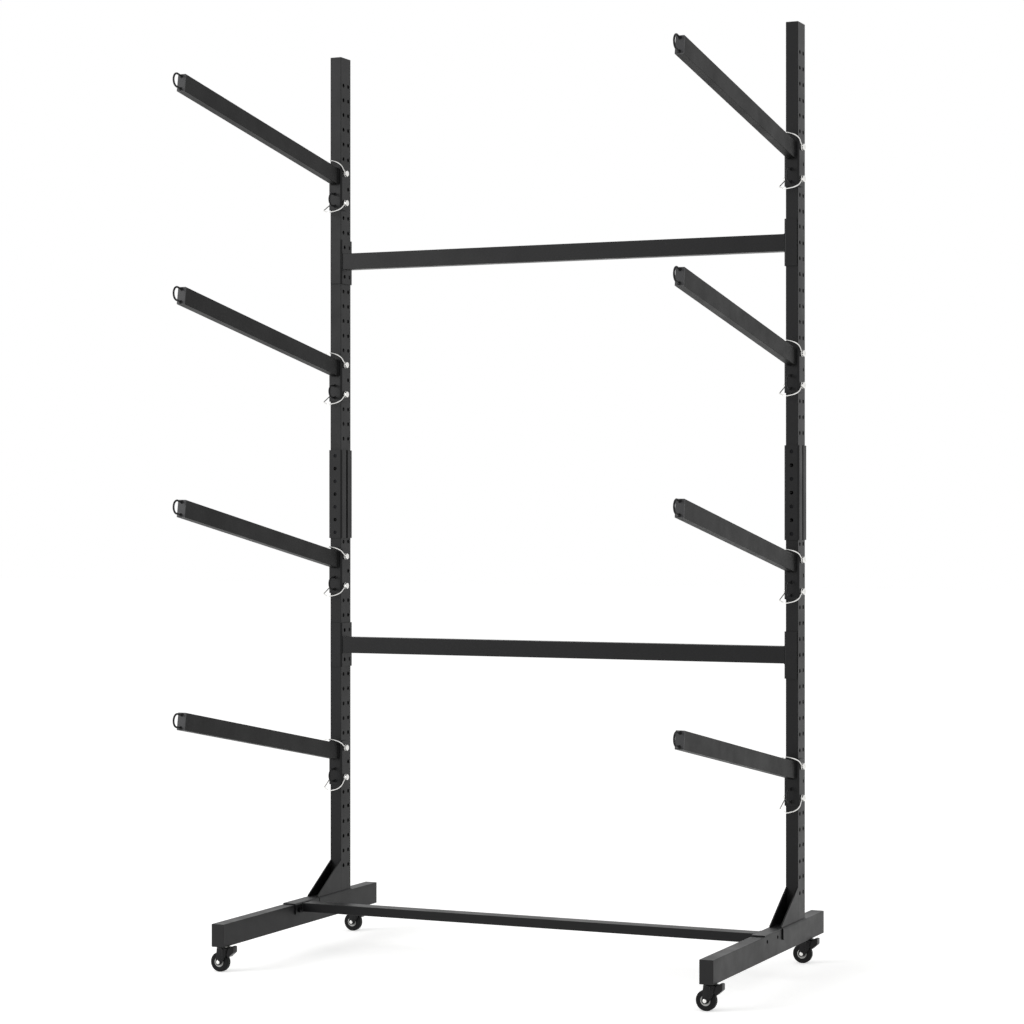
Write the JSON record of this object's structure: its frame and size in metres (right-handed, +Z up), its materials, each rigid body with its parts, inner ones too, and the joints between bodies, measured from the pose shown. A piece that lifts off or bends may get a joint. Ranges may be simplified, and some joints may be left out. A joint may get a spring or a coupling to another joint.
{
  "type": "kayak rack",
  "caption": "Freestanding kayak rack on swivel castors: perforated square posts joined by crossbars carry rising arms held by lock pins, with strap loops.",
  "frame": {"origin": "on the floor plane, under the middle of the bounding box", "axes": "+Z up, +X to the right along the crossbars, +Y to the rear, away from the arm tips"},
  "size_m": [1.2625, 0.9733, 2.2115],
  "materials": {
    "powder_coat": "satin black powder coat",
    "end_plate_coat": "satin dark grey coat",
    "bright_zinc": "bright zinc plate",
    "bolt_steel": "dull zinc plate",
    "cap_plastic": "moulded black",
    "castor_steel": "black",
    "wheel_rubber": "black rubber tread on a grey hub",
    "brake_plastic": "glossy black"
  },
  "bodies": {
    "frame": {"left_lower_post": "powder_coat", "left_upper_post": "powder_coat", "left_leg": "powder_coat", "right_lower_post": "powder_coat", "right_upper_post": "powder_coat", "right_leg": "powder_coat", "post_caps": "cap_plastic", "leg_end_caps": "cap_plastic", "gusset_plates": "powder_coat", "base_crossbar": "powder_coat", "upper_crossbar": "powder_coat", "lower_crossbar": "powder_coat", "saddle_brackets": "powder_coat", "foot_brackets": "powder_coat", "crossbar_brackets": "powder_coat", "post_sleeves": "powder_coat", "arm_brackets": "powder_coat", "frame_bolts": "bolt_steel", "weld_nuts": "bolt_steel", "left_arm_1": "powder_coat", "left_arm_2": "powder_coat", "left_arm_3": "powder_coat", "left_arm_4": "powder_coat", "right_arm_1": "powder_coat", "right_arm_2": "powder_coat", "right_arm_3": "powder_coat", "right_arm_4": "powder_coat", "arm_end_plates": "end_plate_coat", "tip_strap_loops": "powder_coat", "bracket_strap_loops": "powder_coat", "lock_pins": "bright_zinc", "castor_stems": "bolt_steel"},
    "left_upper_clip_1": {"left_upper_clip_1": "bright_zinc"},
    "left_lower_clip_1": {"left_lower_clip_1": "bright_zinc"},
    "left_upper_clip_2": {"left_upper_clip_2": "bright_zinc"},
    "left_lower_clip_2": {"left_lower_clip_2": "bright_zinc"},
    "left_upper_clip_3": {"left_upper_clip_3": "bright_zinc"},
    "left_lower_clip_3": {"left_lower_clip_3": "bright_zinc"},
    "left_upper_clip_4": {"left_upper_clip_4": "bright_zinc"},
    "left_lower_clip_4": {"left_lower_clip_4": "bright_zinc"},
    "right_upper_clip_1": {"right_upper_clip_1": "bright_zinc"},
    "right_lower_clip_1": {"right_lower_clip_1": "bright_zinc"},
    "right_upper_clip_2": {"right_upper_clip_2": "bright_zinc"},
    "right_lower_clip_2": {"right_lower_clip_2": "bright_zinc"},
    "right_upper_clip_3": {"right_upper_clip_3": "bright_zinc"},
    "right_lower_clip_3": {"right_lower_clip_3": "bright_zinc"},
    "right_upper_clip_4": {"right_upper_clip_4": "bright_zinc"},
    "right_lower_clip_4": {"right_lower_clip_4": "bright_zinc"},
    "front_left_fork": {"front_left_fork": "castor_steel"},
    "front_left_wheel": {"front_left_wheel": "wheel_rubber"},
    "front_left_brake": {"front_left_brake": "brake_plastic"},
    "front_right_fork": {"front_right_fork": "castor_steel"},
    "front_right_wheel": {"front_right_wheel": "wheel_rubber"},
    "front_right_brake": {"front_right_brake": "brake_plastic"},
    "rear_left_fork": {"rear_left_fork": "castor_steel"},
    "rear_left_wheel": {"rear_left_wheel": "wheel_rubber"},
    "rear_left_brake": {"rear_left_brake": "brake_plastic"},
    "rear_right_fork": {"rear_right_fork": "castor_steel"},
    "rear_right_wheel": {"rear_right_wheel": "wheel_rubber"},
    "rear_right_brake": {"rear_right_brake": "brake_plastic"}
  },
  "joints": [
    {"name": "left_upper_clip_1_hinge", "type": "hinge", "parent": "frame", "child": "left_upper_clip_1", "pos_m": [-0.59675, 0.30516, 0.4765], "axis": [1, 0, 0], "range_deg": [-33, 2]},
    {"name": "left_lower_clip_1_hinge", "type": "hinge", "parent": "frame", "child": "left_lower_clip_1", "pos_m": [-0.59675, 0.30516, 0.4025], "axis": [1, 0, 0], "range_deg": [-15, 19]},
    {"name": "left_upper_clip_2_hinge", "type": "hinge", "parent": "frame", "child": "left_upper_clip_2", "pos_m": [-0.59675, 0.30516, 0.9575], "axis": [1, 0, 0], "range_deg": [-32, 3]},
    {"name": "left_lower_clip_2_hinge", "type": "hinge", "parent": "frame", "child": "left_lower_clip_2", "pos_m": [-0.59675, 0.30516, 0.8835], "axis": [1, 0, 0], "range_deg": [-5, 29]},
    {"name": "left_upper_clip_3_hinge", "type": "hinge", "parent": "frame", "child": "left_upper_clip_3", "pos_m": [-0.59675, 0.30516, 1.4385], "axis": [1, 0, 0], "range_deg": [-25, 8]},
    {"name": "left_lower_clip_3_hinge", "type": "hinge", "parent": "frame", "child": "left_lower_clip_3", "pos_m": [-0.59675, 0.30516, 1.3645], "axis": [1, 0, 0], "range_deg": [-5, 29]},
    {"name": "left_upper_clip_4_hinge", "type": "hinge", "parent": "frame", "child": "left_upper_clip_4", "pos_m": [-0.59675, 0.30516, 1.9195], "axis": [1, 0, 0], "range_deg": [-23, 10]},
    {"name": "left_lower_clip_4_hinge", "type": "hinge", "parent": "frame", "child": "left_lower_clip_4", "pos_m": [-0.59675, 0.30516, 1.8455], "axis": [1, 0, 0], "range_deg": [-5, 29]},
    {"name": "right_upper_clip_1_hinge", "type": "hinge", "parent": "frame", "child": "right_upper_clip_1", "pos_m": [0.60325, 0.30516, 0.4765], "axis": [1, 0, 0], "range_deg": [-33, 2]},
    {"name": "right_lower_clip_1_hinge", "type": "hinge", "parent": "frame", "child": "right_lower_clip_1", "pos_m": [0.60325, 0.30516, 0.4025], "axis": [1, 0, 0], "range_deg": [-15, 19]},
    {"name": "right_upper_clip_2_hinge", "type": "hinge", "parent": "frame", "child": "right_upper_clip_2", "pos_m": [0.60325, 0.30516, 0.9575], "axis": [1, 0, 0], "range_deg": [-32, 3]},
    {"name": "right_lower_clip_2_hinge", "type": "hinge", "parent": "frame", "child": "right_lower_clip_2", "pos_m": [0.60325, 0.30516, 0.8835], "axis": [1, 0, 0], "range_deg": [-5, 29]},
    {"name": "right_upper_clip_3_hinge", "type": "hinge", "parent": "frame", "child": "right_upper_clip_3", "pos_m": [0.60325, 0.30516, 1.4385], "axis": [1, 0, 0], "range_deg": [-25, 8]},
    {"name": "right_lower_clip_3_hinge", "type": "hinge", "parent": "frame", "child": "right_lower_clip_3", "pos_m": [0.60325, 0.30516, 1.3645], "axis": [1, 0, 0], "range_deg": [-5, 29]},
    {"name": "right_upper_clip_4_hinge", "type": "hinge", "parent": "frame", "child": "right_upper_clip_4", "pos_m": [0.60325, 0.30516, 1.9195], "axis": [1, 0, 0], "range_deg": [-23, 10]},
    {"name": "right_lower_clip_4_hinge", "type": "hinge", "parent": "frame", "child": "right_lower_clip_4", "pos_m": [0.60325, 0.30516, 1.8455], "axis": [1, 0, 0], "range_deg": [-5, 29]},
    {"name": "front_left_swivel", "type": "hinge", "parent": "frame", "child": "front_left_fork", "pos_m": [-0.59675, -0.25634, 0.0595], "axis": [0, 0, 1], "continuous": true},
    {"name": "front_left_spin", "type": "hinge", "parent": "front_left_fork", "child": "front_left_wheel", "pos_m": [-0.60825, -0.25634, 0.023], "axis": [0, 1, 0], "continuous": true},
    {"name": "front_left_brake_hinge", "type": "hinge", "parent": "front_left_fork", "child": "front_left_brake", "pos_m": [-0.59075, -0.25634, 0.0485], "axis": [0, 1, 0], "range_deg": [0, 12]},
    {"name": "front_right_swivel", "type": "hinge", "parent": "frame", "child": "front_right_fork", "pos_m": [0.60325, -0.25634, 0.0595], "axis": [0, 0, 1], "continuous": true},
    {"name": "front_right_spin", "type": "hinge", "parent": "front_right_fork", "child": "front_right_wheel", "pos_m": [0.59175, -0.25634, 0.023], "axis": [0, 1, 0], "continuous": true},
    {"name": "front_right_brake_hinge", "type": "hinge", "parent": "front_right_fork", "child": "front_right_brake", "pos_m": [0.60925, -0.25634, 0.0485], "axis": [0, 1, 0], "range_deg": [0, 12]},
    {"name": "rear_left_swivel", "type": "hinge", "parent": "frame", "child": "rear_left_fork", "pos_m": [-0.59675, 0.40966, 0.0595], "axis": [0, 0, 1], "continuous": true},
    {"name": "rear_left_spin", "type": "hinge", "parent": "rear_left_fork", "child": "rear_left_wheel", "pos_m": [-0.60825, 0.40966, 0.023], "axis": [0, 1, 0], "continuous": true},
    {"name": "rear_left_brake_hinge", "type": "hinge", "parent": "rear_left_fork", "child": "rear_left_brake", "pos_m": [-0.59075, 0.40966, 0.0485], "axis": [0, 1, 0], "range_deg": [0, 12]},
    {"name": "rear_right_swivel", "type": "hinge", "parent": "frame", "child": "rear_right_fork", "pos_m": [0.60325, 0.40966, 0.0595], "axis": [0, 0, 1], "continuous": true},
    {"name": "rear_right_spin", "type": "hinge", "parent": "rear_right_fork", "child": "rear_right_wheel", "pos_m": [0.59175, 0.40966, 0.023], "axis": [0, 1, 0], "continuous": true},
    {"name": "rear_right_brake_hinge", "type": "hinge", "parent": "rear_right_fork", "child": "rear_right_brake", "pos_m": [0.60925, 0.40966, 0.0485], "axis": [0, 1, 0], "range_deg": [0, 12]}
  ]
}
